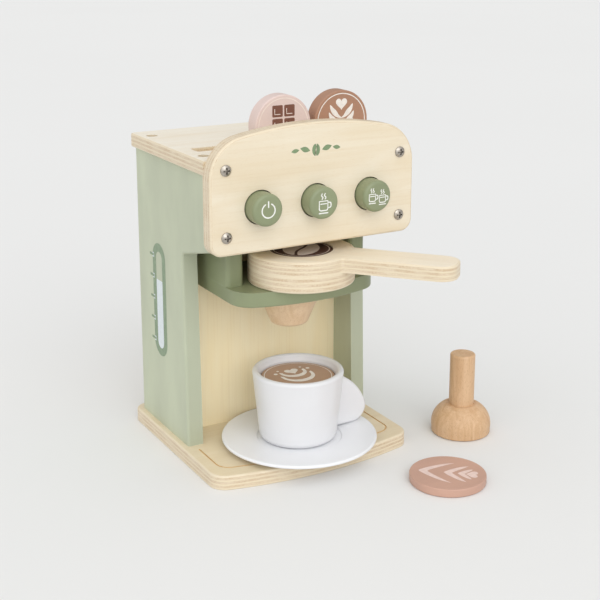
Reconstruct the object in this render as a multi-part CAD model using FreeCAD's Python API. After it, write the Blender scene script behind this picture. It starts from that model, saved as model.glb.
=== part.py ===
import FreeCAD
import Part
import math
import os

# A wooden toy coffee maker with its portafilter, drink discs, cup, saucer and tamper.
# Millimetres. +Z is up, -Y is the front that the child plays at, +X is the child's right.
# The origin is on the underside of the base board, on the centre line, in the plane
# of the front face of the board at the back of the brewing bay.

# Boards
BASE_T = 10.4
TOP_T = 10.4
SIDE_T = 12.0
FRONT_T = 12.0
RECESS_T = 8.0
REAR_T = 8.0
HEAD_FLOOR_T = 8.0
SLOT_FLOOR_T = 6.0
GUIDE_T = 8.0
SHELF_T = 11.0
BLOCK_T = 13.5
BOARD_EDGE_R = 1.5

# Fits and gaps, and how close two coordinates must be to count as the same
SAME_PLACE = 0.01
GLUE_GAP = 0.02
SCREW_GAP = 0.05
REST_GAP = 0.3

# Portafilter: a round ring that slides on the shelf, and a paddle with its handle on top
HEAD_R = 38.7
RING_T = 12.0
PADDLE_T = 10.5
HANDLE_W = 31.2
HANDLE_REACH = 114.5
HANDLE_END_R = 12.0
HANDLE_ANGLE = -48.5
HANDLE_NECK_R = 3.0
HEAD_SIDE_GAP = 4.8
HEAD_SEAT_GAP = 0.4
HEAD_DRAWN_OUT = 22.3

# Body
SHELF_SIDE_GAP = 7.7
SIDE_H = 211.6
BODY_BACK = 58.2
LEG_FRONT_TOP = 23.8
LEG_FRONT_FOOT = 28.1
HEAD_FRONT = 70.2
HEAD_DEPTH_FRONT = 53.5
HEAD_DEPTH_BACK = 65.0
NOTCH_R = 5.0
PANEL_EDGE_R = 2.0

# Base board and its burnt-in groove
BASE_SIDE_MARGIN = 4.8
BASE_BACK_MARGIN = 8.8
BASE_FRONT = 95.0
BASE_BOW_R = 300.0
BASE_FRONT_CORNER_R = 13.0
BASE_BACK_CORNER_R = 9.0
GROOVE_SIDE_MARGIN = 10.0
GROOVE_FRONT_MARGIN = 13.4
GROOVE_CORNER_R = 10.0
GROOVE_W = 1.3
GROOVE_DEPTH = 0.8
GROOVE_BACK_END = 35.4

# Top plate and its disc slots
TOP_SIDE_OVERHANG = 3.3
TOP_BACK_OVERHANG = 2.4
TOP_CORNER_R = 4.0
SLOT_FRONT_GAP = 0.8
SLOT_END_GAP = 0.9
SLOT_CORNER_R = 2.5
SLOT_Y = -29.7

# Front panel
FRONT_SIDE_OVERHANG = 4.3
FRONT_DROP = 0.5
CROWN_RISE = 22.0
CROWN_BOW_R = 290.0
CROWN_CORNER_R = 29.0
FRONT_LOWER_CORNER_R = 9.0
FRONT_EDGE_R = 2.0

# Buttons
BUTTON_R = 11.4
BUTTON_PROUD = 11.9
BUTTON_SIDE_MARGIN = 21.2
BUTTON_RISE = 31.5
BUTTON_EDGE_R = 2.6
BUTTON_HOLE_GAP = 0.7
COLLAR_WIDTH = 2.8
COLLAR_T = 3.0
STEM_R = 4.0
STEM_HOLE_GAP = 0.3
STEM_IN_GUIDE = 6.0
SPRING_LENGTH = 16.0
SPRING_WIRE = 1.2
SPRING_STEM_GAP = 1.0

# Shelf that carries the portafilter, its two side blocks and the spout
FILTER_BAY_H = 31.0
SHELF_FRONT = 84.0
SHELF_BOW_R = 150.0
SHELF_CORNER_R = 18.0
BLOCK_FRONT = 56.5
BLOCK_EDGE_R = 3.5
SPOUT_Y = -43.4
SPOUT_TOP_R = 24.5
SPOUT_TIP_R = 13.2
SPOUT_H = 26.8
SPOUT_TIP_EDGE_R = 3.5
SPOUT_TIP_EDGE_IN = 2.1
DOWEL_R = 4.0
DOWEL_IN_SHELF = 6.0
DOWEL_IN_SPOUT = 12.0

# Thick drink discs for the slots and the portafilter
DISC_R = 22.5
DISC_T = 12.0
DISC_EDGE_R = 0.8
DISC_SPACING_GAP = 3.5
POCKET_GAP = 0.5
POCKET_SINK = 0.2

# Saucer, cup and the thin discs that lie in the cup
SAUCER_SIDE_GAP = 6.9
SAUCER_BACK_GAP = 0.8
SAUCER_FOOT_R = 36.0
SAUCER_WELL_R = 31.3
SAUCER_WELL_T = 4.2
SAUCER_WELL_STEP = 0.6
SAUCER_RIM_Z = 4.0
SAUCER_RIM_T = 2.6
CUP_BACK_SHIFT = 2.0
CUP_RIM_R = 34.0
CUP_FOOT_R = 29.0
CUP_H = 52.9
CUP_FOOT_EDGE_R = 5.0
CUP_RIM_EDGE_R = 2.4
CUP_WALL = 5.2
CUP_FLOOR_T = 6.0
CUP_LEDGE = 3.0
CUP_HANDLE_T = 9.0
CUP_HANDLE_PROUD = 23.6
CUP_HANDLE_LOW = 1.6
CUP_HANDLE_WIDEST = 14.5
CUP_HANDLE_TOP = 44.0
CUP_HANDLE_ROOT = 3.0
CUP_HANDLE_BROW_IN = 8.8
CUP_HANDLE_BROW_H = 30.9
CUP_HANDLE_EDGE_R = 2.5
THIN_DISC_R = 27.4
THIN_DISC_T = 6.0
THIN_DISC_GAP = 0.6
THIN_DISC_SINK = 5.8

# Tamper and the spare thin disc, which stand on the surface beside the machine
TAMPER_X = 131.1
TAMPER_Y = -83.1
TAMPER_BASE_R = 22.7
TAMPER_HEAD_H = 23.0
TAMPER_SHOULDER_R = 12.0
TAMPER_STRAIGHT_H = 4.0
TAMPER_DOME_MIDDLE_R = 20.6
TAMPER_DOME_MIDDLE_H = 15.8
TAMPER_HANDLE_R = 9.65
TAMPER_H = 63.8
TAMPER_SOCKET_DEPTH = 12.0
TAMPER_EDGE_R = 1.5
LEAF_DISC_X = 70.3
LEAF_DISC_Y = -149.3

# Wood screws with a domed head and a cross recess
SCREW_HEAD_R = 3.9
SCREW_HEAD_H = 2.0
SCREW_BRIM_H = 0.6
SCREW_DOME_MIDDLE_R = 2.34
SCREW_DOME_MIDDLE_H = 1.6
SCREW_SHANK_R = 1.8
SCREW_TIP = 3.0
SCREW_TIP_R = 0.45
SCREW_CROSS_W = 1.1
SCREW_CROSS_LEN = 4.6
SCREW_CROSS_DEPTH = 1.3
SCREW_BITE = 14.0
SHORT_SCREW_BITE = 9.0
SINK_R = 4.25
TOP_SINK = 5.0
BASE_SINK = 3.4
FRONT_SCREW_INSET = 7.6
FRONT_SCREW_RISE = 13.1
TOP_SCREW_Y_FRONT = -51.7
TOP_SCREW_Y_BACK = 39.0
BASE_SCREW_Y_FRONT = -8.0
BASE_SCREW_Y_BACK = 46.0
BASE_SCREW_X = 35.0
SHELF_SCREW_X = 30.0
BLOCK_SCREW_Y = -28.0

# Places that follow from the sizes above
SHELF_HALF_W = HEAD_R + HEAD_SIDE_GAP + BLOCK_T
BAY_HALF_W = SHELF_HALF_W + SHELF_SIDE_GAP
BODY_HALF_W = BAY_HALF_W + SIDE_T
BUTTON_PITCH = BAY_HALF_W - BUTTON_SIDE_MARGIN
SIDE_TOP = BASE_T + SIDE_H
HEAD_UNDERSIDE = SIDE_TOP - HEAD_DEPTH_FRONT
NOTCH_Z = SIDE_TOP - HEAD_DEPTH_BACK
HEAD_FLOOR_TOP = HEAD_UNDERSIDE + HEAD_FLOOR_T
SLOT_FLOOR_UNDERSIDE = SIDE_TOP - SLOT_FLOOR_T
TOP_FACE = SIDE_TOP + TOP_T
FRONT_BOTTOM = HEAD_UNDERSIDE - FRONT_DROP
FRONT_FACE = -HEAD_FRONT - FRONT_T
BUTTON_Z = FRONT_BOTTOM + BUTTON_RISE
COLLAR_FRONT = -HEAD_FRONT + REST_GAP
COLLAR_BACK = COLLAR_FRONT + COLLAR_T
GUIDE_FRONT = COLLAR_BACK + SPRING_LENGTH
GUIDE_BACK = GUIDE_FRONT + GUIDE_T
SHELF_TOP = HEAD_UNDERSIDE - FILTER_BAY_H
SHELF_UNDERSIDE = SHELF_TOP - SHELF_T
RING_TOP = SHELF_TOP + RING_T
PADDLE_TOP = RING_TOP + PADDLE_T
HEAD_Y = -(HEAD_R + HEAD_SEAT_GAP + HEAD_DRAWN_OUT)
POCKET_R = DISC_R + POCKET_GAP
POCKET_FLOOR = PADDLE_TOP - POCKET_SINK - DISC_T - REST_GAP
SAUCER_R = BAY_HALF_W - SAUCER_SIDE_GAP
SAUCER_Y = -(SAUCER_R + SAUCER_BACK_GAP)
CUP_Y = SAUCER_Y + CUP_BACK_SHIFT
CUP_Z = BASE_T + SAUCER_WELL_T
CUP_TOP = CUP_Z + CUP_H
THIN_DISC_Z = CUP_TOP - THIN_DISC_SINK - THIN_DISC_T
DISC_PITCH = 2 * DISC_R + DISC_SPACING_GAP
SLOT_W = DISC_T + 2 * SLOT_FRONT_GAP
SIDE_MIDDLE_X = BAY_HALF_W + SIDE_T / 2

X_AXIS = FreeCAD.Vector(1, 0, 0)
Y_AXIS = FreeCAD.Vector(0, 1, 0)
Z_AXIS = FreeCAD.Vector(0, 0, 1)
BACKWARD = Y_AXIS
FORWARD = Y_AXIS * -1
UPWARD = Z_AXIS
DOWNWARD = Z_AXIS * -1


def vec(x, y, z):
    return FreeCAD.Vector(x, y, z)


def save(shape, node):
    """Write one sub-part as the file that carries its name."""
    shape.exportStep("parts/" + node + ".step")
    print(node, "solids", len(shape.Solids), "volume", round(shape.Volume, 1))


def box(x0, x1, y0, y1, z0, z1):
    """A block between two corners, given axis by axis."""
    return Part.makeBox(x1 - x0, y1 - y0, z1 - z0, vec(x0, y0, z0))


def rod(radius, length, start, direction):
    """A cylinder that starts at a point and runs along a direction."""
    return Part.makeCylinder(radius, length, start, direction)


def rounded(shape, radius, wanted):
    """Round the edges for which the test is true."""
    edges = [edge for edge in shape.Edges if wanted(edge)]
    return shape.makeFillet(radius, edges)


def lies_at(edge, axis, value):
    """Whether an edge lies in the plane where one coordinate has the value."""
    low = getattr(edge.BoundBox, axis + "Min")
    high = getattr(edge.BoundBox, axis + "Max")
    return abs(low - value) < SAME_PLACE and abs(high - value) < SAME_PLACE


def spun(points, centre):
    """Turn a closed profile of (radius, height) points and arcs round a vertical line.

    An arc is a triple: its start, a point on it and its end.
    """
    edges = []
    for piece in points:
        corners = [vec(radius, 0, height) for radius, height in piece]
        if len(corners) == 3:
            edges.append(Part.Arc(*corners).toShape())
        else:
            edges.append(Part.LineSegment(*corners).toShape())
    face = Part.Face(Part.Wire(edges))
    solid = face.revolve(vec(0, 0, 0), Z_AXIS, 360)
    solid.translate(centre)
    return solid


def corner_arc(centre_r, centre_h, radius, start_deg, end_deg):
    """An arc of a profile, as three (radius, height) points round a centre."""
    middle_deg = (start_deg + end_deg) / 2
    points = []
    for angle in (start_deg, middle_deg, end_deg):
        turn = math.radians(angle)
        points.append((centre_r + radius * math.cos(turn), centre_h + radius * math.sin(turn)))
    return tuple(points)


def bowed_outline(half_w, front, back, bow_r, corner_r, back_r):
    """A plate outline in the XY plane whose front edge is a shallow bow.

    The front and back are distances from y = 0; corner_r rounds the bow into the
    sides and back_r rounds the back corners.
    """
    bow_y = -front + bow_r
    corner_x = half_w - corner_r
    corner_y = bow_y - math.sqrt((bow_r - corner_r) ** 2 - corner_x ** 2)
    reach = bow_r / (bow_r - corner_r)
    bow_end_x = corner_x * reach
    bow_end_y = bow_y + (corner_y - bow_y) * reach
    turn = math.atan2(bow_end_y - corner_y, bow_end_x - corner_x) / 2
    middle_x = corner_x + corner_r * math.cos(turn)
    middle_y = corner_y + corner_r * math.sin(turn)
    edges = [Part.Arc(vec(-bow_end_x, bow_end_y, 0), vec(0, -front, 0), vec(bow_end_x, bow_end_y, 0))]
    edges.append(Part.Arc(vec(bow_end_x, bow_end_y, 0), vec(middle_x, middle_y, 0), vec(half_w, corner_y, 0)))
    edges.append(Part.LineSegment(vec(half_w, corner_y, 0), vec(half_w, back - back_r, 0)))
    diagonal = back_r * (1 - math.sqrt(0.5))
    if back_r > 0:
        edges.append(Part.Arc(vec(half_w, back - back_r, 0),
                              vec(half_w - diagonal, back - diagonal, 0),
                              vec(half_w - back_r, back, 0)))
    edges.append(Part.LineSegment(vec(half_w - back_r, back, 0), vec(-half_w + back_r, back, 0)))
    if back_r > 0:
        edges.append(Part.Arc(vec(-half_w + back_r, back, 0),
                              vec(-half_w + diagonal, back - diagonal, 0),
                              vec(-half_w, back - back_r, 0)))
    edges.append(Part.LineSegment(vec(-half_w, back - back_r, 0), vec(-half_w, corner_y, 0)))
    edges.append(Part.Arc(vec(-half_w, corner_y, 0), vec(-middle_x, middle_y, 0), vec(-bow_end_x, bow_end_y, 0)))
    return Part.Wire([edge.toShape() for edge in edges])


def bowed_plate(half_w, front, back, bow_r, corner_r, back_r, bottom, top):
    """The solid plate of a bowed outline between two heights."""
    wire = bowed_outline(half_w, front, back, bow_r, corner_r, back_r)
    wire.translate(vec(0, 0, bottom))
    return Part.Face(wire).extrude(vec(0, 0, top - bottom))


def screw(seat, direction, shank_length):
    """A domed wood screw whose head sits on a seat and whose shank runs along a direction."""
    tip_start = SCREW_TIP - shank_length
    dome_middle = (SCREW_DOME_MIDDLE_R, SCREW_DOME_MIDDLE_H)
    profile = [((0, SCREW_HEAD_H), (0, -shank_length)),
               ((0, -shank_length), (SCREW_TIP_R, -shank_length)),
               ((SCREW_TIP_R, -shank_length), (SCREW_SHANK_R, tip_start)),
               ((SCREW_SHANK_R, tip_start), (SCREW_SHANK_R, 0)),
               ((SCREW_SHANK_R, 0), (SCREW_HEAD_R, 0)),
               ((SCREW_HEAD_R, 0), (SCREW_HEAD_R, SCREW_BRIM_H)),
               ((SCREW_HEAD_R, SCREW_BRIM_H), dome_middle, (0, SCREW_HEAD_H))]
    body = spun(profile, vec(0, 0, 0))
    half_len = SCREW_CROSS_LEN / 2
    half_w = SCREW_CROSS_W / 2
    floor = SCREW_HEAD_H - SCREW_CROSS_DEPTH
    above = SCREW_HEAD_H + SCREW_CROSS_DEPTH
    body = body.cut(box(-half_len, half_len, -half_w, half_w, floor, above))
    body = body.cut(box(-half_w, half_w, -half_len, half_len, floor, above))
    body.Placement = FreeCAD.Placement(seat, FreeCAD.Rotation(DOWNWARD, direction))
    return body


def screw_hole(seat, direction, shank_length):
    """The hole that a screw of the same seat and length needs."""
    return rod(SCREW_SHANK_R + SCREW_GAP, shank_length + SCREW_GAP, seat, direction)


def mirrored_pair(place):
    """A point and its mirror image across the centre line."""
    return [vec(place.x, place.y, place.z), vec(-place.x, place.y, place.z)]


def front_screw_seats():
    """Four screws hold the front panel to the side panels and to the edge of the top plate."""
    seats = []
    for height in (FRONT_BOTTOM + FRONT_SCREW_RISE, SIDE_TOP + TOP_T / 2):
        seats += mirrored_pair(vec(BODY_HALF_W - FRONT_SCREW_INSET, FRONT_FACE, height))
    return seats


def top_screw_seats():
    """Four sunk screws hold the top plate down on the side panels."""
    seats = []
    for depth in (TOP_SCREW_Y_FRONT, TOP_SCREW_Y_BACK):
        seats += mirrored_pair(vec(SIDE_MIDDLE_X, depth, TOP_FACE - TOP_SINK))
    return seats


def base_screw_seats():
    """Six sunk screws come up through the base into the side panels and the recess board."""
    seats = []
    for depth in (BASE_SCREW_Y_FRONT, BASE_SCREW_Y_BACK):
        seats += mirrored_pair(vec(SIDE_MIDDLE_X, depth, BASE_SINK))
    seats += mirrored_pair(vec(BASE_SCREW_X, RECESS_T / 2, BASE_SINK))
    return seats


def shelf_screw_seats():
    """Two screws come through the recess board into the back edge of the shelf."""
    return mirrored_pair(vec(SHELF_SCREW_X, RECESS_T, SHELF_UNDERSIDE + SHELF_T / 2))


def block_screw_seats():
    """Two screws come down through the head floor into the side blocks."""
    return mirrored_pair(vec(SHELF_HALF_W - BLOCK_T / 2, BLOCK_SCREW_Y, HEAD_FLOOR_TOP))


FRONT_SCREW_LEN = FRONT_T + SCREW_BITE
TOP_SCREW_LEN = TOP_T - TOP_SINK + SCREW_BITE
BASE_SCREW_LEN = BASE_T - BASE_SINK + SCREW_BITE
SHELF_SCREW_LEN = RECESS_T + SCREW_BITE
BLOCK_SCREW_LEN = HEAD_FLOOR_T + SHORT_SCREW_BITE


def drilled(shape, seats, direction, shank_length):
    """Drill one hole for each screw seat."""
    for seat in seats:
        shape = shape.cut(screw_hole(seat, direction, shank_length))
    return shape


def sunk(shape, seats, direction, depth):
    """Sink a wide round pocket above each screw seat, out to the face of the board."""
    for seat in seats:
        shape = shape.cut(rod(SINK_R, depth, seat, direction * -1))
    return shape


def screw_set(seats, direction, shank_length):
    """All the screws of one kind, as a group of separate solids."""
    return Part.makeCompound([screw(seat, direction, shank_length) for seat in seats])


def base_board():
    """The board that everything stands on, with a bowed front and a burnt-in groove."""
    half_w = BODY_HALF_W + BASE_SIDE_MARGIN
    back = BODY_BACK + BASE_BACK_MARGIN
    board = bowed_plate(half_w, BASE_FRONT, back, BASE_BOW_R,
                        BASE_FRONT_CORNER_R, BASE_BACK_CORNER_R, 0, BASE_T)
    board = rounded(board, BOARD_EDGE_R, lambda edge: lies_at(edge, "Z", BASE_T))
    groove_half_w = half_w - GROOVE_SIDE_MARGIN + GROOVE_W / 2
    groove_front = BASE_FRONT - GROOVE_FRONT_MARGIN + GROOVE_W / 2
    bow_r = BASE_BOW_R - GROOVE_FRONT_MARGIN + GROOVE_W / 2
    floor = BASE_T - GROOVE_DEPTH
    outer = bowed_plate(groove_half_w, groove_front, -GROOVE_BACK_END, bow_r,
                        GROOVE_CORNER_R + GROOVE_W, 0, floor, BASE_T)
    inner = bowed_plate(groove_half_w - GROOVE_W, groove_front - GROOVE_W, -GROOVE_BACK_END,
                        bow_r - GROOVE_W, GROOVE_CORNER_R, 0, floor, BASE_T)
    board = board.cut(outer.cut(inner))
    board = drilled(board, base_screw_seats(), UPWARD, BASE_SCREW_LEN)
    return sunk(board, base_screw_seats(), UPWARD, BASE_SINK)


def side_panel(side):
    """One painted side panel, cut back below the head; side is -1 for left, 1 for right."""
    profile = [(BODY_BACK, BASE_T), (-LEG_FRONT_FOOT, BASE_T), (-LEG_FRONT_TOP, NOTCH_Z),
               (-HEAD_FRONT, HEAD_UNDERSIDE), (-HEAD_FRONT, SIDE_TOP), (BODY_BACK, SIDE_TOP)]
    profile.append(profile[0])
    corners = [vec(BAY_HALF_W, y, z) for y, z in profile]
    panel = Part.Face(Part.makePolygon(corners)).extrude(vec(SIDE_T, 0, 0))
    panel = rounded(panel, NOTCH_R, lambda edge: is_notch_corner(edge))
    panel = rounded(panel, PANEL_EDGE_R, lambda edge: is_free_panel_edge(edge))
    if side < 0:
        panel = panel.mirror(vec(0, 0, 0), X_AXIS)
    panel = drilled(panel, front_screw_seats(), BACKWARD, FRONT_SCREW_LEN)
    panel = drilled(panel, top_screw_seats(), DOWNWARD, TOP_SCREW_LEN)
    return drilled(panel, base_screw_seats(), UPWARD, BASE_SCREW_LEN)


def is_notch_corner(edge):
    """The inner corner where the leg meets the underside of the head."""
    return lies_at(edge, "Y", -LEG_FRONT_TOP) and lies_at(edge, "Z", NOTCH_Z)


def is_free_panel_edge(edge):
    """The long edges of the outer face that no other board covers."""
    on_outer_face = lies_at(edge, "X", BODY_HALF_W)
    at_head_front = lies_at(edge, "Y", -HEAD_FRONT)
    on_top = lies_at(edge, "Z", SIDE_TOP)
    on_base = lies_at(edge, "Z", BASE_T)
    return on_outer_face and not at_head_front and not on_top and not on_base


def recess_board():
    """The board at the back of the brewing bay, which also carries the shelf."""
    board = box(-BAY_HALF_W, BAY_HALF_W, 0, RECESS_T, BASE_T, SIDE_TOP)
    board = drilled(board, shelf_screw_seats(), FORWARD, SHELF_SCREW_LEN)
    return drilled(board, base_screw_seats(), UPWARD, BASE_SCREW_LEN)


def rear_panel():
    """The board that closes the back, flush with the back edges of the side panels."""
    return box(-BAY_HALF_W, BAY_HALF_W, BODY_BACK - REAR_T, BODY_BACK, BASE_T, SIDE_TOP)


def head_floor_board():
    """The board that closes the head from below and holds the side blocks."""
    board = box(-BAY_HALF_W, BAY_HALF_W, -HEAD_FRONT, 0, HEAD_UNDERSIDE, HEAD_FLOOR_TOP)
    return drilled(board, block_screw_seats(), DOWNWARD, BLOCK_SCREW_LEN)


def slot_floor_board():
    """The board under the top plate on which the drink discs stand."""
    return box(-BAY_HALF_W, BAY_HALF_W, GUIDE_FRONT, 0, SLOT_FLOOR_UNDERSIDE, SIDE_TOP)


def button_guide_board():
    """The upright board inside the head that guides the stems of the buttons."""
    board = box(-BAY_HALF_W, BAY_HALF_W, GUIDE_FRONT, GUIDE_BACK, HEAD_FLOOR_TOP, SLOT_FLOOR_UNDERSIDE)
    for column in (-1, 0, 1):
        start = vec(column * BUTTON_PITCH, GUIDE_FRONT, BUTTON_Z)
        board = board.cut(rod(STEM_R + STEM_HOLE_GAP, GUIDE_T, start, BACKWARD))
    return board


def slot_length():
    """A slot is as long as the chord of a standing disc at the top face, and a little more."""
    middle_above_top = DISC_R + REST_GAP - TOP_T
    half_chord = math.sqrt(DISC_R ** 2 - middle_above_top ** 2)
    return 2 * (half_chord + SLOT_END_GAP)


def top_plate():
    """The top board with three slots in a row for the drink discs."""
    half_w = BODY_HALF_W + TOP_SIDE_OVERHANG
    back = BODY_BACK + TOP_BACK_OVERHANG
    plate = box(-half_w, half_w, -HEAD_FRONT, back, SIDE_TOP, TOP_FACE)
    plate = rounded(plate, TOP_CORNER_R, lambda edge: is_upright_at(edge, back))
    plate = rounded(plate, BOARD_EDGE_R, lambda edge: is_plate_rim(edge))
    length = slot_length()
    for column in (-1, 0, 1):
        middle = column * DISC_PITCH
        slot = box(middle - length / 2, middle + length / 2,
                   SLOT_Y - SLOT_W / 2, SLOT_Y + SLOT_W / 2, SIDE_TOP, TOP_FACE)
        slot = rounded(slot, SLOT_CORNER_R, lambda edge: is_upright(edge))
        plate = plate.cut(slot)
    plate = drilled(plate, front_screw_seats(), BACKWARD, FRONT_SCREW_LEN)
    plate = drilled(plate, top_screw_seats(), DOWNWARD, TOP_SCREW_LEN)
    return sunk(plate, top_screw_seats(), DOWNWARD, TOP_SINK)


def is_upright(edge):
    """Whether an edge stands straight up."""
    limits = edge.BoundBox
    return limits.XLength < SAME_PLACE and limits.YLength < SAME_PLACE


def is_upright_at(edge, depth):
    """Whether an edge stands straight up at one distance from the recess board."""
    return is_upright(edge) and lies_at(edge, "Y", depth)


def is_plate_rim(edge):
    """The free edges of the top plate, but not those against the front panel."""
    flat = lies_at(edge, "Z", TOP_FACE) or lies_at(edge, "Z", SIDE_TOP)
    return flat and not lies_at(edge, "Y", -HEAD_FRONT)


def front_panel():
    """The front panel with a crowned top edge and three button holes."""
    half_w = BODY_HALF_W + FRONT_SIDE_OVERHANG
    crown = TOP_FACE + CROWN_RISE
    panel = bowed_plate(half_w, crown, -FRONT_BOTTOM, CROWN_BOW_R,
                        CROWN_CORNER_R, FRONT_LOWER_CORNER_R, 0, FRONT_T)
    panel.rotate(vec(0, 0, 0), X_AXIS, -90)
    panel.translate(vec(0, FRONT_FACE, 0))
    panel = rounded(panel, FRONT_EDGE_R, lambda edge: lies_at(edge, "Y", FRONT_FACE))
    panel = rounded(panel, BOARD_EDGE_R, lambda edge: lies_at(edge, "Y", -HEAD_FRONT))
    for column in (-1, 0, 1):
        start = vec(column * BUTTON_PITCH, FRONT_FACE, BUTTON_Z)
        panel = panel.cut(rod(BUTTON_R + BUTTON_HOLE_GAP, FRONT_T, start, BACKWARD))
    return drilled(panel, front_screw_seats(), BACKWARD, FRONT_SCREW_LEN)


def button(column):
    """A turned button: a round cap, a collar behind the panel and a guide stem."""
    middle = column * BUTTON_PITCH
    cap_front = FRONT_FACE - BUTTON_PROUD
    cap = rod(BUTTON_R, COLLAR_FRONT - cap_front, vec(middle, cap_front, BUTTON_Z), BACKWARD)
    cap = rounded(cap, BUTTON_EDGE_R, lambda edge: lies_at(edge, "Y", cap_front))
    collar_r = BUTTON_R + COLLAR_WIDTH
    collar = rod(collar_r, COLLAR_T, vec(middle, COLLAR_FRONT, BUTTON_Z), BACKWARD)
    stem_length = SPRING_LENGTH + STEM_IN_GUIDE
    stem = rod(STEM_R, stem_length, vec(middle, COLLAR_BACK, BUTTON_Z), BACKWARD)
    return cap.fuse(collar).fuse(stem).removeSplitter()


def button_spring(column):
    """The return spring round a button's stem, as the sleeve of space that its coils fill."""
    inner_r = STEM_R + SPRING_STEM_GAP
    start = vec(column * BUTTON_PITCH, COLLAR_BACK, BUTTON_Z)
    sleeve = rod(inner_r + SPRING_WIRE, SPRING_LENGTH, start, BACKWARD)
    return sleeve.cut(rod(inner_r, SPRING_LENGTH, start, BACKWARD))


def filter_shelf():
    """The shelf that the portafilter slides on, with a bowed front."""
    shelf = bowed_plate(SHELF_HALF_W, SHELF_FRONT, 0, SHELF_BOW_R,
                        SHELF_CORNER_R, 0, SHELF_UNDERSIDE, SHELF_TOP)
    shelf = rounded(shelf, BOARD_EDGE_R, lambda edge: is_shelf_rim(edge))
    socket = rod(DOWEL_R + SCREW_GAP, DOWEL_IN_SHELF, vec(0, SPOUT_Y, SHELF_UNDERSIDE), UPWARD)
    shelf = shelf.cut(socket)
    return drilled(shelf, shelf_screw_seats(), FORWARD, SHELF_SCREW_LEN)


def is_shelf_rim(edge):
    """The lower edges of the shelf, but not the one against the recess board."""
    return lies_at(edge, "Z", SHELF_UNDERSIDE) and not lies_at(edge, "Y", 0)


def side_block(side):
    """The block that ties the shelf to the head; side is -1 for left, 1 for right."""
    outer = side * SHELF_HALF_W
    inner = side * (SHELF_HALF_W - BLOCK_T)
    block = box(min(outer, inner), max(outer, inner), -BLOCK_FRONT, 0, SHELF_TOP, HEAD_UNDERSIDE)
    block = rounded(block, BLOCK_EDGE_R, lambda edge: is_upright_at(edge, -BLOCK_FRONT))
    return drilled(block, block_screw_seats(), DOWNWARD, BLOCK_SCREW_LEN)


def spout():
    """The turned cone under the shelf, as if the coffee ran out of it."""
    tip = SHELF_UNDERSIDE - SPOUT_H
    slope = math.degrees(math.atan2(SPOUT_TOP_R - SPOUT_TIP_R, SPOUT_H))
    edge_r = SPOUT_TIP_EDGE_R
    round_to = -slope
    arc_r = SPOUT_TIP_R - SPOUT_TIP_EDGE_IN
    arc = corner_arc(arc_r, tip + edge_r, edge_r, -90, round_to)
    profile = [((0, tip), arc[0]),
               arc,
               (arc[2], (SPOUT_TOP_R, SHELF_UNDERSIDE)),
               ((SPOUT_TOP_R, SHELF_UNDERSIDE), (0, SHELF_UNDERSIDE)),
               ((0, SHELF_UNDERSIDE), (0, tip))]
    cone = spun(profile, vec(0, SPOUT_Y, 0))
    return cone.cut(rod(DOWEL_R + SCREW_GAP, DOWEL_IN_SPOUT, vec(0, SPOUT_Y, SHELF_UNDERSIDE), DOWNWARD))


def spout_dowel():
    """The dowel that pins the spout to the shelf."""
    start = vec(0, SPOUT_Y, SHELF_UNDERSIDE - DOWEL_IN_SPOUT + SCREW_GAP)
    return rod(DOWEL_R, DOWEL_IN_SPOUT + DOWEL_IN_SHELF - 2 * SCREW_GAP, start, UPWARD)


def portafilter_ring():
    """The lower round layer of the portafilter, with the bottom of the disc pocket."""
    ring = rod(HEAD_R, RING_T, vec(0, HEAD_Y, SHELF_TOP), UPWARD)
    ring = rounded(ring, BOARD_EDGE_R, lambda edge: lies_at(edge, "Z", SHELF_TOP))
    depth = RING_TOP - POCKET_FLOOR
    if depth > 0:
        ring = ring.cut(rod(POCKET_R, depth, vec(0, HEAD_Y, POCKET_FLOOR), UPWARD))
    return ring


def portafilter_paddle():
    """The upper layer of the portafilter: a round head and its handle in one board."""
    head = rod(HEAD_R, PADDLE_T, vec(0, 0, RING_TOP), UPWARD)
    handle = box(0, HANDLE_REACH, -HANDLE_W / 2, HANDLE_W / 2, RING_TOP, PADDLE_TOP)
    handle = rounded(handle, HANDLE_END_R, lambda edge: is_upright_at_x(edge, HANDLE_REACH))
    paddle = head.fuse(handle).removeSplitter()
    neck_x = math.sqrt(HEAD_R ** 2 - (HANDLE_W / 2) ** 2)
    paddle = rounded(paddle, HANDLE_NECK_R, lambda edge: is_upright_at_x(edge, neck_x))
    paddle = rounded(paddle, BOARD_EDGE_R, lambda edge: lies_at(edge, "Z", PADDLE_TOP))
    pocket_floor = max(POCKET_FLOOR, RING_TOP)
    pocket = rod(POCKET_R, PADDLE_TOP - pocket_floor, vec(0, 0, pocket_floor), UPWARD)
    paddle = paddle.cut(pocket)
    paddle.rotate(vec(0, 0, 0), Z_AXIS, HANDLE_ANGLE)
    paddle.translate(vec(0, HEAD_Y, 0))
    return paddle


def is_upright_at_x(edge, place):
    """Whether an edge stands straight up at one distance from the centre line."""
    return is_upright(edge) and lies_at(edge, "X", place)


def flat_disc(radius, thickness, centre):
    """A round disc with eased edges that lies flat on the given centre."""
    disc = rod(radius, thickness, centre, UPWARD)
    return disc.makeFillet(DISC_EDGE_R, [edge for edge in disc.Edges if not is_upright(edge)])


def standing_disc(column):
    """A thick drink disc that stands on edge in a slot of the top plate."""
    front = SLOT_Y - DISC_T / 2
    middle = vec(column * DISC_PITCH, front, SIDE_TOP + REST_GAP + DISC_R)
    disc = rod(DISC_R, DISC_T, middle, BACKWARD)
    faces = [edge for edge in disc.Edges if edge.BoundBox.YLength < SAME_PLACE]
    return disc.makeFillet(DISC_EDGE_R, faces)


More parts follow.
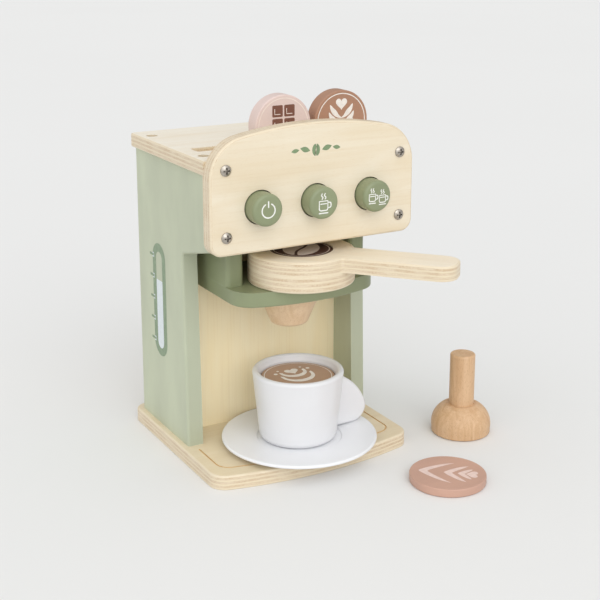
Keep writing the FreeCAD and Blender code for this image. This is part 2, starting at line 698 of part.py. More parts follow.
def saucer():
    """The turned saucer: a foot, a raised rim and a shallow well for the cup."""
    rim_low = SAUCER_RIM_Z
    rim_high = rim_low + SAUCER_RIM_T
    rim_middle = rim_low + SAUCER_RIM_T / 2
    rim_in = SAUCER_R - SAUCER_RIM_T / 2
    inner_edge_r = SAUCER_WELL_R + SAUCER_WELL_STEP
    inner_edge_h = SAUCER_WELL_T + SAUCER_WELL_STEP
    profile = [((0, 0), (SAUCER_FOOT_R, 0)),
               ((SAUCER_FOOT_R, 0), (rim_in, rim_low)),
               ((rim_in, rim_low), (SAUCER_R, rim_middle), (rim_in, rim_high)),
               ((rim_in, rim_high), (inner_edge_r, inner_edge_h)),
               ((inner_edge_r, inner_edge_h), (SAUCER_WELL_R, SAUCER_WELL_T)),
               ((SAUCER_WELL_R, SAUCER_WELL_T), (0, SAUCER_WELL_T)),
               ((0, SAUCER_WELL_T), (0, 0))]
    return spun(profile, vec(0, SAUCER_Y, BASE_T))


def cup_outside_radius(height):
    """The radius of the cup's tapered outside at a height above its foot."""
    return CUP_FOOT_R + (CUP_RIM_R - CUP_FOOT_R) * height / CUP_H


def cup_body():
    """The turned cup: tapered, hollow, with a ledge that carries a thin disc."""
    foot_r = CUP_FOOT_R - CUP_FOOT_EDGE_R
    foot = corner_arc(foot_r, CUP_FOOT_EDGE_R, CUP_FOOT_EDGE_R, -90, 0)
    rim_h = CUP_H - CUP_RIM_EDGE_R
    outer_r = cup_outside_radius(rim_h)
    rim = corner_arc(outer_r - CUP_RIM_EDGE_R, rim_h, CUP_RIM_EDGE_R, 0, 180)
    bore_r = THIN_DISC_R + THIN_DISC_GAP
    ledge_h = CUP_H - THIN_DISC_SINK - THIN_DISC_T
    cavity_top_r = bore_r - CUP_LEDGE
    cavity_foot_r = cup_outside_radius(CUP_FLOOR_T) - CUP_WALL
    profile = [((0, 0), foot[0]),
               foot,
               (foot[2], rim[0]),
               rim,
               (rim[2], (bore_r, rim_h - CUP_RIM_EDGE_R)),
               ((bore_r, rim_h - CUP_RIM_EDGE_R), (bore_r, ledge_h)),
               ((bore_r, ledge_h), (cavity_top_r, ledge_h)),
               ((cavity_top_r, ledge_h), (cavity_foot_r, CUP_FLOOR_T)),
               ((cavity_foot_r, CUP_FLOOR_T), (0, CUP_FLOOR_T)),
               ((0, CUP_FLOOR_T), (0, 0))]
    return spun(profile, vec(0, CUP_Y, CUP_Z))


def cup_outside():
    """The outside of the cup as a plain solid cone, for trimming what meets it."""
    return Part.makeCone(CUP_FOOT_R + GLUE_GAP, CUP_RIM_R + GLUE_GAP, CUP_H, vec(0, 0, 0), UPWARD)


def cup_handle():
    """The solid D-shaped handle plate, glued to the side of the cup."""
    reach = CUP_RIM_R + CUP_HANDLE_PROUD
    low = CUP_HANDLE_LOW
    heel_r = CUP_HANDLE_WIDEST - low
    inside_x = CUP_FOOT_R - CUP_HANDLE_ROOT
    heel_x = reach - heel_r
    diagonal = heel_r * (1 - math.sqrt(0.5))
    root_low = vec(inside_x, 0, low)
    root_high = vec(inside_x, 0, CUP_HANDLE_TOP)
    heel_start = vec(heel_x, 0, low)
    widest = vec(reach, 0, CUP_HANDLE_WIDEST)
    brow_middle = vec(reach - CUP_HANDLE_BROW_IN, 0, CUP_HANDLE_BROW_H)
    bottom = Part.LineSegment(root_low, heel_start).toShape()
    heel = Part.Arc(heel_start, vec(reach - diagonal, 0, low + diagonal), widest).toShape()
    brow = Part.Arc(widest, brow_middle, root_high).toShape()
    root = Part.LineSegment(root_high, root_low).toShape()
    plate = Part.Face(Part.Wire([bottom, heel, brow, root])).extrude(vec(0, CUP_HANDLE_T, 0))
    plate = rounded(plate, CUP_HANDLE_EDGE_R, lambda edge: is_handle_rim(edge, inside_x))
    plate.translate(vec(0, -CUP_HANDLE_T / 2, 0))
    plate = plate.cut(cup_outside())
    plate.translate(vec(0, CUP_Y, CUP_Z))
    return plate


def is_handle_rim(edge, inside_x):
    """The outline edges on both faces of the handle plate, but not those inside the cup."""
    on_face = lies_at(edge, "Y", 0) or lies_at(edge, "Y", CUP_HANDLE_T)
    return on_face and not lies_at(edge, "X", inside_x)


def thin_disc(centre):
    """A thin drink disc that fits the mouth of the cup."""
    return flat_disc(THIN_DISC_R, THIN_DISC_T, centre)


def tamper_head():
    """The domed foot of the tamper, with a socket for its handle."""
    dome_middle = (TAMPER_DOME_MIDDLE_R, TAMPER_DOME_MIDDLE_H)
    edge = TAMPER_EDGE_R
    profile = [((0, 0), (TAMPER_BASE_R - edge, 0)),
               corner_arc(TAMPER_BASE_R - edge, edge, edge, -90, 0),
               ((TAMPER_BASE_R, edge), (TAMPER_BASE_R, TAMPER_STRAIGHT_H)),
               ((TAMPER_BASE_R, TAMPER_STRAIGHT_H), dome_middle, (TAMPER_SHOULDER_R, TAMPER_HEAD_H)),
               ((TAMPER_SHOULDER_R, TAMPER_HEAD_H), (0, TAMPER_HEAD_H)),
               ((0, TAMPER_HEAD_H), (0, 0))]
    head = spun(profile, vec(TAMPER_X, TAMPER_Y, 0))
    socket = rod(TAMPER_HANDLE_R + SCREW_GAP, TAMPER_SOCKET_DEPTH,
                 vec(TAMPER_X, TAMPER_Y, TAMPER_HEAD_H), DOWNWARD)
    return head.cut(socket)


def tamper_handle():
    """The round handle of the tamper, glued into its head."""
    start = vec(TAMPER_X, TAMPER_Y, TAMPER_HEAD_H - TAMPER_SOCKET_DEPTH)
    handle = rod(TAMPER_HANDLE_R, TAMPER_H - start.z, start, UPWARD)
    return rounded(handle, TAMPER_EDGE_R, lambda edge: lies_at(edge, "Z", TAMPER_H))


def main():
    os.makedirs("parts", exist_ok=True)
    save(base_board(), "base_board")
    save(side_panel(-1), "left_side_panel")
    save(side_panel(1), "right_side_panel")
    save(recess_board(), "recess_board")
    save(rear_panel(), "rear_panel")
    save(head_floor_board(), "head_floor_board")
    save(slot_floor_board(), "slot_floor_board")
    save(button_guide_board(), "button_guide_board")
    save(top_plate(), "top_plate")
    save(front_panel(), "front_panel")
    save(filter_shelf(), "filter_shelf")
    save(side_block(-1), "left_side_block")
    save(side_block(1), "right_side_block")
    save(spout(), "spout")
    save(spout_dowel(), "spout_dowel")
    for name, column in (("power", -1), ("one_cup", 0), ("two_cup", 1)):
        save(button(column), name + "_button")
        save(button_spring(column), name + "_spring")
    save(portafilter_ring(), "portafilter_ring")
    save(portafilter_paddle(), "portafilter_paddle")
    save(flat_disc(DISC_R, DISC_T, vec(0, HEAD_Y, POCKET_FLOOR + REST_GAP)), "bean_disc")
    save(standing_disc(0), "chocolate_disc")
    save(standing_disc(1), "rosette_disc")
    save(saucer(), "saucer")
    save(cup_body(), "cup_body")
    save(cup_handle(), "cup_handle")
    save(thin_disc(vec(0, CUP_Y, THIN_DISC_Z)), "cup_drink_disc")
    save(tamper_head(), "tamper_head")
    save(tamper_handle(), "tamper_handle")
    save(thin_disc(vec(LEAF_DISC_X, LEAF_DISC_Y, 0)), "leaf_disc")
    save(screw_set(front_screw_seats(), BACKWARD, FRONT_SCREW_LEN), "front_panel_screws")
    save(screw_set(top_screw_seats(), DOWNWARD, TOP_SCREW_LEN), "top_plate_screws")
    save(screw_set(base_screw_seats(), UPWARD, BASE_SCREW_LEN), "base_screws")
    save(screw_set(shelf_screw_seats(), FORWARD, SHELF_SCREW_LEN), "shelf_screws")
    save(screw_set(block_screw_seats(), DOWNWARD, BLOCK_SCREW_LEN), "block_screws")


main()
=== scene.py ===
# %% [markdown]
# # A wooden toy coffee maker
# The machine stands on a plywood base, with painted side panels, a shelf for the
# portafilter, three press buttons and slots for wooden drink discs. A cup, a saucer,
# a tamper and a spare disc belong to it. The solids come from the construction model,
# so this lesson is about what turns plain solids into painted, printed and oiled wood.

import math

import bmesh
import bpy
from mathutils import Matrix, Vector


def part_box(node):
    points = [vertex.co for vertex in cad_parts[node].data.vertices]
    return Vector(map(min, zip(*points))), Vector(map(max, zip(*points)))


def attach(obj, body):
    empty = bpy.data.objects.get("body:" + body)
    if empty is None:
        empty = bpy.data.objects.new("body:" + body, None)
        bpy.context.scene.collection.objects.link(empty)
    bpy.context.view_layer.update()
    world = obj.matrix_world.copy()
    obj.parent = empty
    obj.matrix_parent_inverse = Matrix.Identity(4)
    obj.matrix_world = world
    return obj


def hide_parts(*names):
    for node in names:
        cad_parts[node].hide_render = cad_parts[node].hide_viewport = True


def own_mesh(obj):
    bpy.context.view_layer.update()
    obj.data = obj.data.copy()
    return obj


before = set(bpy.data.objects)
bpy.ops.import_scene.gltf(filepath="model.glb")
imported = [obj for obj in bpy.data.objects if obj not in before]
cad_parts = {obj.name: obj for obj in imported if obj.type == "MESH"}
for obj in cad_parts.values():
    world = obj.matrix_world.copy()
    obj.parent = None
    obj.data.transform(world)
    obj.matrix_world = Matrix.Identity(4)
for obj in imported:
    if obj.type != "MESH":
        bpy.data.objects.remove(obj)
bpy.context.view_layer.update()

# %% [markdown]
# Wood, paint and steel all differ from place to place: grain, pores, brush marks.
# That can come from photographs or from nodes. Nodes are used here, because their
# detail has a real size in millimetres and never repeats. Every finish reads the
# piece's own coordinates, so its grain stays on the wood when a piece is moved.

# %% Small tools for finishes
def tone(red, green, blue):
    """A colour as it looks on paper, 0 to 255, turned into the light values of a shader."""
    linear = []
    for part in (red, green, blue):
        share = part / 255
        linear.append(share / 12.92 if share <= 0.04045 else ((share + 0.055) / 1.055) ** 2.4)
    return (*linear, 1.0)


def add(tree, kind, settings=None, **sockets):
    """Adds a node. A socket takes a value, or the output of another node."""
    node = tree.nodes.new(kind)
    for key, value in (settings or {}).items():
        setattr(node, key, value)
    for key, value in sockets.items():
        feed(tree, node.inputs[key.replace("_", " ")], value)
    return node


def feed(tree, socket, value):
    if isinstance(value, bpy.types.NodeSocket):
        tree.links.new(value, socket)
    else:
        socket.default_value = value


def calc(tree, operation, *values):
    node = tree.nodes.new("ShaderNodeMath")
    node.operation = operation
    for place, value in enumerate(values):
        feed(tree, node.inputs[place], value)
    return node.outputs[0]


def mixed(tree, share, first, second):
    node = tree.nodes.new("ShaderNodeMix")
    node.data_type = "RGBA"
    for place, value in ((0, share), (6, first), (7, second)):
        feed(tree, node.inputs[place], value)
    return node.outputs[2]


def spread(tree, value, low, high):
    """Stretches the part of a value between low and high to 0 to 1, and cuts off the rest."""
    node = add(tree, "ShaderNodeMapRange", None, Value=value, From_Min=low, From_Max=high)
    return node.outputs[0]


def cloud(tree, sizes, turn=0.0, detail=2.0, wander=0.0):
    """Noise whose features have these sizes in millimetres along X, Y and Z."""
    where = tree.nodes.new("ShaderNodeTexCoord").outputs["Object"]
    if turn:
        where = add(tree, "ShaderNodeVectorRotate", {"rotation_type": "Z_AXIS"},
                    Vector=where, Angle=turn).outputs[0]
    scaled = tree.nodes.new("ShaderNodeVectorMath")
    scaled.operation = "MULTIPLY"
    feed(tree, scaled.inputs[0], where)
    scaled.inputs[1].default_value = [1000.0 / size for size in sizes]
    noise = add(tree, "ShaderNodeTexNoise", None, Vector=scaled.outputs[0], Scale=1.0,
                Detail=detail, Distortion=wander)
    return noise.outputs[0]


def start_finish(name, **settings):
    """A new material with an empty surface; the settings go straight to its shader."""
    finish = bpy.data.materials.new(name)
    finish.use_nodes = True
    surface = finish.node_tree.nodes["Principled BSDF"]
    for key, value in settings.items():
        surface.inputs[key.replace("_", " ")].default_value = value
    return finish, finish.node_tree, surface


def relief(tree, surface, height, depth_mm, strength):
    bump = add(tree, "ShaderNodeBump", None, Height=height, Distance=depth_mm / 1000,
               Strength=strength)
    tree.links.new(bump.outputs[0], surface.inputs["Normal"])


def along(axis, length, across):
    """Feature sizes of wood whose grain runs along one axis."""
    sizes = [across, across, across]
    sizes[axis] = length
    return sizes


X, Y, Z = 0, 1, 2
print("finish tools ready")

# %% [markdown]
# The visible boards are birch plywood under clear lacquer. Its faces are one sheet of
# pale veneer with a soft, wavy figure and fine short pores. Its cut edges show the
# layers: pale ones with long grain, darker ones cut across, and a thin glue line
# between them, all patchy where the sander went over them. The layer is found from how
# far through the board a point lies, so the same finish also draws the layers inside
# holes and slots and on rounded corners.

# %% Birch plywood
LAYERS = 7
FACE_ZONE = 0.493
VENEER_PALE = (233, 222, 200)
VENEER_WARM = (224, 207, 176)
# Painted light: the top plate's veneer is paler than the same plywood elsewhere, for the light from
# above.
TOP_PALE_LIT, TOP_WARM_LIT = (249, 243, 229), (243, 232, 211)
# Painted light: the handle's veneer is paler than the same plywood elsewhere, for the light from
# above.
HANDLE_PALE_LIT, HANDLE_WARM_LIT = (246, 236, 216), (240, 224, 198)
PORE_TAN = tone(214, 192, 156)
PLY_PALE = tone(229, 216, 191)
PLY_TAN = tone(224, 206, 178)
GLUE_LINE = tone(190, 160, 122)


def veneer_colour(tree, turn, pale, warm):
    """The face of the board: broad figure, narrow growth lines and pores."""
    figure = cloud(tree, along(X, 90, 13), turn, 3.0, 0.8)
    lines = cloud(tree, along(X, 55, 1.6), turn, 2.0, 0.3)
    pores = cloud(tree, along(X, 4.0, 0.32), turn, 1.0)
    colour = mixed(tree, spread(tree, figure, 0.25, 0.80), tone(*pale), tone(*warm))
    growth = calc(tree, "MULTIPLY", spread(tree, lines, 0.52, 0.74), 0.20)
    colour = mixed(tree, growth, colour, PORE_TAN)
    pits = spread(tree, pores, 0.60, 0.74)
    colour = mixed(tree, calc(tree, "MULTIPLY", pits, 0.30), colour, PORE_TAN)
    return colour, pits


def layer_colour(tree, level):
    """The cut edge: a level from 0 to 1 through the board picks the layer."""
    bend = 0.22
    waver = calc(tree, "MULTIPLY", cloud(tree, (14, 14, 14)), bend)
    count = calc(tree, "ADD", calc(tree, "MULTIPLY", level, float(LAYERS)), waver)
    count = calc(tree, "SUBTRACT", count, bend / 2)
    inside = calc(tree, "FRACT", count)
    cross_cut = calc(tree, "GREATER_THAN", calc(tree, "MODULO", count, 2.0), 1.0)
    speckle = cloud(tree, (0.5, 0.5, 0.5))
    long_grain = mixed(tree, spread(tree, speckle, 0.35, 0.75), PLY_PALE, tone(*VENEER_WARM))
    end_grain = mixed(tree, spread(tree, speckle, 0.40, 0.65), PLY_TAN, GLUE_LINE)
    sanded = spread(tree, cloud(tree, (16, 16, 5)), 0.38, 0.62)
    end_grain = mixed(tree, calc(tree, "MULTIPLY", sanded, 0.6), end_grain, PLY_PALE)
    colour = mixed(tree, cross_cut, long_grain, end_grain)
    patchy = spread(tree, cloud(tree, (9, 9, 3)), 0.3, 0.7)
    glued = calc(tree, "MULTIPLY", calc(tree, "LESS_THAN", inside, 0.10), patchy)
    colour = mixed(tree, calc(tree, "MULTIPLY", glued, 0.8), colour, GLUE_LINE)
    streaks = spread(tree, cloud(tree, (16, 16, 0.45)), 0.58, 0.72)
    return mixed(tree, calc(tree, "MULTIPLY", streaks, 0.4), colour, GLUE_LINE)


def level_through(tree, node, axis):
    """How far through a board a point lies, 0 at its low face and 1 at its high face."""
    low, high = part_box(node)
    where = tree.nodes.new("ShaderNodeTexCoord").outputs["Object"]
    parts = add(tree, "ShaderNodeSeparateXYZ", None, Vector=where)
    return spread(tree, parts.outputs[axis], low[axis], high[axis]), parts


def plywood(node, axis, pale=VENEER_PALE, warm=VENEER_WARM, turn=0.0):
    finish, tree, surface = start_finish("birch_plywood_" + node, Roughness=0.46,
                                         Coat_Weight=0.2, Coat_Roughness=0.38)
    face, pits = veneer_colour(tree, turn, pale, warm)
    level, parts = level_through(tree, node, axis)
    edge = layer_colour(tree, level)
    away = calc(tree, "ABSOLUTE", calc(tree, "SUBTRACT", level, 0.5))
    on_face = calc(tree, "GREATER_THAN", away, FACE_ZONE)
    colour = mixed(tree, on_face, edge, face)
    relief(tree, surface, calc(tree, "SUBTRACT", 1.0, pits), 0.05, 0.5)
    tree.links.new(colour, surface.inputs["Base Color"])
    return finish, tree, surface, colour, parts


def dress(node, finish):
    """Gives a solid its finish, in the slots that it already has."""
    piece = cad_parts[node]
    if not piece.data.materials:
        piece.data.materials.append(finish)
    for spot in piece.material_slots:
        spot.material = finish


HANDLE_TURN = math.radians(48.5)
dress("top_plate", plywood("top_plate", Z, TOP_PALE_LIT, TOP_WARM_LIT)[0])
dress("front_panel", plywood("front_panel", Y)[0])
for node in ("portafilter_ring", "portafilter_paddle"):
    dress(node, plywood(node, Z, HANDLE_PALE_LIT, HANDLE_WARM_LIT, HANDLE_TURN)[0])
print("plywood on 4 pieces")

# %% [markdown]
# The base board has a groove burnt in along its front and sides, which shows where
# the saucer goes. The solid already has the groove, so only its colour is missing;
# that burnt colour is lightened, as painted light against the shade in the narrow
# groove. Everything that lies just below the top face and well inside the outline
# belongs to it, so four simple comparisons of coordinates find it without a mask image.

# %% Base board with its burnt groove
BASE_PALE, BASE_WARM = (232, 218, 190), (223, 205, 170)
# Painted light: the burnt tones are lighter than the burn itself, to offset the groove's shade.
BURNT_AND_LIT, DEEP_BURNT_AND_LIT = tone(232, 202, 150), tone(212, 178, 124)
GROOVE_LOW, GROOVE_HIGH = 0.0094, 0.01035
GROOVE_SIDE = 0.0738
GROOVE_FRONT = -0.0840


def base_plywood():
    finish, tree, surface, colour, parts = plywood("base_board", Z, BASE_PALE, BASE_WARM)
    across, forward, height = parts.outputs
    below = calc(tree, "LESS_THAN", height, GROOVE_HIGH)
    above = calc(tree, "GREATER_THAN", height, GROOVE_LOW)
    sideways = calc(tree, "LESS_THAN", calc(tree, "ABSOLUTE", across), GROOVE_SIDE)
    behind = calc(tree, "GREATER_THAN", forward, GROOVE_FRONT)
    in_groove = calc(tree, "MULTIPLY", calc(tree, "MULTIPLY", below, above),
                     calc(tree, "MULTIPLY", sideways, behind))
    scorched_and_lit = mixed(tree, cloud(tree, (3, 3, 3)), BURNT_AND_LIT, DEEP_BURNT_AND_LIT)
    tree.links.new(mixed(tree, in_groove, colour, scorched_and_lit), surface.inputs["Base Color"])
    return finish


dress("base_board", base_plywood())
print("groove burnt in")

# %% [markdown]
# The board at the back of the brewing bay, and the boards inside, are a plainer and
# warmer pale wood, its tones raised almost to white as painted light for the deep bay.
# One finish serves them all: straight grain along the board, a
# little figure and fine pores. They need no layers, since no cut edge shows.

# %% Plain pale boards
def pale_board(name, grain):
    finish, tree, surface = start_finish(name, Roughness=0.5, Coat_Weight=0.08, Coat_Roughness=0.45)
    figure = cloud(tree, along(grain, 140, 16), detail=3.0, wander=0.6)
    lines = cloud(tree, along(grain, 80, 1.3))
    pores = spread(tree, cloud(tree, along(grain, 5, 0.3)), 0.60, 0.75)
    # Painted light: the two tones are raised almost to white for the dim brewing bay.
    colour = mixed(tree, spread(tree, figure, 0.3, 0.7), tone(255, 242, 208), tone(253, 236, 196))
    colour = mixed(tree, calc(tree, "MULTIPLY", spread(tree, lines, 0.5, 0.75), 0.25),
                   colour, tone(232, 208, 164))
    tree.links.new(colour, surface.inputs["Base Color"])
    relief(tree, surface, calc(tree, "SUBTRACT", 1.0, pores), 0.04, 0.4)
    return finish


upright_board = pale_board("pale_board_upright", Z)
lying_board = pale_board("pale_board_lying", X)
for node in ("recess_board", "rear_panel"):
    dress(node, upright_board)
for node in ("head_floor_board", "slot_floor_board", "button_guide_board"):
    dress(node, lying_board)
print("pale boards: 5")

# %% [markdown]
# The side panels and the green pieces carry thin matt paint. Under it the grain
# still shows as faint raised lines, the colour drifts a little where the paint is
# thicker, and arrises that hands rub become paler. The front and back edges of the
# side panels are painted a little deeper, as painted shade. A paint finish takes its
# colour and its grain direction; the rubbed arris comes from the Bevel node, which
# tells how far the surface turns within a fraction of a millimetre.

# %% Matt paint over wood
def paint(name, colour, grain, rough=0.5, rubbed=0.35, sheen_coat=0.0, edge_shade=0.0):
    finish, tree, surface = start_finish(name, Coat_Weight=sheen_coat, Coat_Roughness=0.35)
    deep = tone(*[part * 0.955 for part in colour])
    high = tone(*[min(255, part * 1.025) for part in colour])
    worn = tone(*[part + (255 - part) * 0.35 for part in colour])
    drift = cloud(tree, along(grain, 70, 28), detail=3.0)
    brushed = cloud(tree, along(grain, 26, 0.9))
    shade = mixed(tree, spread(tree, drift, 0.3, 0.7), deep, high)
    marks = calc(tree, "MULTIPLY", spread(tree, brushed, 0.55, 0.8), 0.25)
    shade = mixed(tree, marks, shade, deep)
    # Painted shade: faces that turn to the front or back get a darker colour.
    if edge_shade:
        facing_out = tree.nodes.new("ShaderNodeTexCoord").outputs["Normal"]
        split = add(tree, "ShaderNodeSeparateXYZ", None, Vector=facing_out)
        cut_edge = calc(tree, "ABSOLUTE", split.outputs[Y])
        edge_shade_tone = tone(*[part * 0.86 for part in colour])
        shade = mixed(tree, calc(tree, "MULTIPLY", cut_edge, edge_shade), shade, edge_shade_tone)
    soft = add(tree, "ShaderNodeBevel", {"samples": 4}, Radius=0.0009)
    plain = tree.nodes.new("ShaderNodeNewGeometry").outputs["Normal"]
    turned = tree.nodes.new("ShaderNodeVectorMath")
    turned.operation = "DOT_PRODUCT"
    tree.links.new(soft.outputs[0], turned.inputs[0])
    tree.links.new(plain, turned.inputs[1])
    arris = spread(tree, turned.outputs["Value"], 0.985, 0.90)
    patchy = spread(tree, cloud(tree, (9, 9, 9)), 0.35, 0.65)
    wear = calc(tree, "MULTIPLY", calc(tree, "MULTIPLY", arris, patchy), rubbed)
    tree.links.new(mixed(tree, wear, shade, worn), surface.inputs["Base Color"])
    gloss = calc(tree, "ADD", calc(tree, "MULTIPLY", drift, 0.12), rough - 0.06)
    tree.links.new(gloss, surface.inputs["Roughness"])
    relief(tree, surface, brushed, 0.05, 0.35)
    return finish


SAGE = (192, 198, 173)
OLIVE = (137, 145, 111)
sage = paint("sage_paint_upright", SAGE, Z, edge_shade=0.45)
olive_lying = paint("olive_paint_lying", OLIVE, X, 0.42, 0.3, 0.1)
olive_upright = paint("olive_paint_upright", OLIVE, Z, 0.42, 0.3, 0.1)
for node in ("left_side_panel", "right_side_panel"):
    dress(node, sage)
dress("filter_shelf", olive_lying)
for node in ("left_side_block", "right_side_block",
             "power_button", "one_cup_button", "two_cup_button"):
    dress(node, olive_upright)
print("painted green pieces: 8")

# %% [markdown]
# The drink discs are painted all over and then printed. Their paints differ only in
# colour, so the same recipe serves again. The cup and the saucer have a smoother,
# thicker white lacquer, which hides the grain but keeps a soft waviness from the
# lathe; a thin coat on top gives their broad, quiet highlights. The saucer's is painted
# a touch whiter and bluer than the cup's, as painted light against the shade it lies in.

# %% Disc paints and white lacquer
DISC_PAINTS = {
    "bean_disc": ("dark_roast_paint", (74, 46, 40)),
    "chocolate_disc": ("pink_paint", (221, 200, 193)),
    "rosette_disc": ("latte_paint", (170, 128, 103)),
    "cup_drink_disc": ("cocoa_paint", (184, 150, 124)),
    "leaf_disc": ("tan_paint", (200, 160, 141)),
}
for node, (name, colour) in DISC_PAINTS.items():
    dress(node, paint(name, colour, X, 0.5, 0.25))


def white_lacquer(use, low, high):
    finish, tree, surface = start_finish("white_lacquer_" + use, Roughness=0.36,
                                         Coat_Weight=0.25, Coat_Roughness=0.22)
    drift = cloud(tree, (30, 30, 30))
    colour = mixed(tree, spread(tree, drift, 0.3, 0.7), low, high)
    tree.links.new(colour, surface.inputs["Base Color"])
    turning = cloud(tree, (40, 40, 2.2), detail=1.0)
    relief(tree, surface, turning, 0.06, 0.25)
    return finish


cup_lacquer = white_lacquer("cup", tone(223, 223, 225), tone(227, 227, 229))
for node in ("cup_body", "cup_handle"):
    dress(node, cup_lacquer)
# Painted light: the saucer's lacquer is whiter and bluer than the cup's.
dress("saucer", white_lacquer("saucer", tone(234, 235, 238), tone(237, 238, 241)))
print("disc paints:", len(DISC_PAINTS), "and white lacquer on 3 pieces")

# %% [markdown]
# The spout and the tamper are turned from beech. Oiled beech is warm and even, with
# one clear mark: short dark flecks, like dashes of a pencil, along the grain. Growth
# rings make slow, wide bands. Both come from noise that is stretched along Z, the
# axis on which the wood was turned.

# %% Turned beech
def beech(name, pale, warm, fleck):
    finish, tree, surface = start_finish(name, Roughness=0.48, Coat_Weight=0.08, Coat_Roughness=0.4)
    rings = cloud(tree, along(Z, 70, 5), detail=3.0, wander=1.2)
    flecks = spread(tree, cloud(tree, along(Z, 2.6, 0.38), detail=1.0), 0.60, 0.70)
    colour = mixed(tree, spread(tree, rings, 0.32, 0.68), pale, warm)
    colour = mixed(tree, calc(tree, "MULTIPLY", flecks, 0.5), colour, fleck)
    tree.links.new(colour, surface.inputs["Base Color"])
    relief(tree, surface, calc(tree, "SUBTRACT", 1.0, flecks), 0.05, 0.45)
    return finish


tamper_beech = beech("oiled_beech", tone(216, 181, 143), tone(200, 160, 118), tone(158, 114, 76))
spout_beech = beech("pale_pink_beech", tone(234, 206, 172), tone(222, 190, 152),
                    tone(190, 150, 112))
for node in ("tamper_head", "tamper_handle", "spout_dowel"):
    dress(node, tamper_beech)
dress("spout", spout_beech)
print("beech on 4 pieces")

# %% [markdown]
# The screws are zinc-plated steel with a cross recess. Plated steel is a metal with a
# dull, slightly uneven shine. Ambient Occlusion finds inner corners by itself, and the
# colour is darkened there as painted shade, in the cross and at the rim of the head.

# %% Steel
def steel(name, pale, dark):
    finish, tree, surface = start_finish(name, Metallic=1.0)
    cloudy = cloud(tree, (1.2, 1.2, 1.2), detail=3.0)
    # Painted shade: inner corners found by Ambient Occlusion get a dark colour.
    corner = add(tree, "ShaderNodeAmbientOcclusion", {"samples": 6}, Distance=0.0012)
    shade = mixed(tree, spread(tree, cloudy, 0.3, 0.7), pale, dark)
    open_face = spread(tree, corner.outputs["AO"], 0.35, 0.9)
    tree.links.new(mixed(tree, open_face, tone(88, 81, 74), shade), surface.inputs["Base Color"])
    dull = calc(tree, "ADD", calc(tree, "MULTIPLY", cloudy, 0.2), 0.24)
    tree.links.new(dull, surface.inputs["Roughness"])
    relief(tree, surface, cloudy, 0.02, 0.4)
    return finish


screw_steel = steel("zinc_plated_steel", tone(196, 189, 179), tone(163, 155, 145))
for node in ("front_panel_screws", "top_plate_screws", "base_screws", "shelf_screws",
             "block_screws"):
    dress(node, screw_steel)
print("screws in steel")

# %% [markdown]
# Behind each button sits a return spring. The solid model has a plain sleeve there, to
# keep its space; here it becomes a wound wire. A helix is a circle that climbs, so the
# wire's centre line is easy to write, and a small ring of points is carried along it.

# %% Wound springs
WIRE_R = 0.0006
COIL_R = 0.0056
COIL_TURNS = 7
STEPS_PER_TURN = 28
WIRE_SIDES = 8


def coil(node, finish):
    low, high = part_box(node)
    middle_x = (low.x + high.x) / 2
    middle_z = (low.z + high.z) / 2
    start, end = low.y + WIRE_R, high.y - WIRE_R
    mesh = bpy.data.meshes.new("coil")
    shape = bmesh.new()
    rings = []
    steps = COIL_TURNS * STEPS_PER_TURN
    for step in range(steps + 1):
        share = step / steps
        turn = share * COIL_TURNS * math.tau
        out = Vector((math.cos(turn), 0, math.sin(turn)))
        centre = Vector((middle_x, start + (end - start) * share, middle_z)) + out * COIL_R
        ring = []
        for corner in range(WIRE_SIDES):
            angle = corner / WIRE_SIDES * math.tau
            offset = out * math.cos(angle) + Vector((0, 1, 0)) * math.sin(angle)
            ring.append(shape.verts.new(centre + offset * WIRE_R))
        rings.append(ring)
    for first, second in zip(rings, rings[1:]):
        for corner in range(WIRE_SIDES):
            after = (corner + 1) % WIRE_SIDES
            shape.faces.new((first[corner], first[after], second[after], second[corner]))
    shape.faces.new(rings[0])
    shape.faces.new(list(reversed(rings[-1])))
    bmesh.ops.recalc_face_normals(shape, faces=shape.faces)
    shape.to_mesh(mesh)
    shape.free()
    for face in mesh.polygons:
        face.use_smooth = len(face.vertices) == 4
    piece = bpy.data.objects.new(node + "_coil", mesh)
    bpy.context.scene.collection.objects.link(piece)
    mesh.materials.append(finish)
    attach(piece, "machine")
    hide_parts(node)
    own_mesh(piece)
    return piece


spring_steel = steel("spring_steel", tone(196, 196, 198), tone(150, 150, 154))
for word in ("power", "one_cup", "two_cup"):
    made = coil(word + "_spring", spring_steel)
    print(made.name, "faces", len(made.data.polygons))

# %% [markdown]
# The prints are thin layers of ink: a level gauge on the left panel, symbols on the
# buttons and latte pictures on the discs. They could be masks inside the paints, but
# an ink shape cut from a mesh has crisp edges at any distance. First come the lines:
# arcs, soft curves, and strokes that give a line its width.

# %% Tools for drawing lines
def ring_part(radius, start, end, centre=(0, 0), steps=32, stretch=1.0):
    """Points on an arc, in degrees, which may be stretched upwards."""
    points = []
    for step in range(steps + 1):
        angle = math.radians(start + (end - start) * step / steps)
        points.append((centre[0] + radius * math.cos(angle),
                       centre[1] + radius * stretch * math.sin(angle)))
    return points


def strip(first, second):
    """Quads between two lines that have the same number of points."""
    return [[first[i], first[i + 1], second[i + 1], second[i]] for i in range(len(first) - 1)]


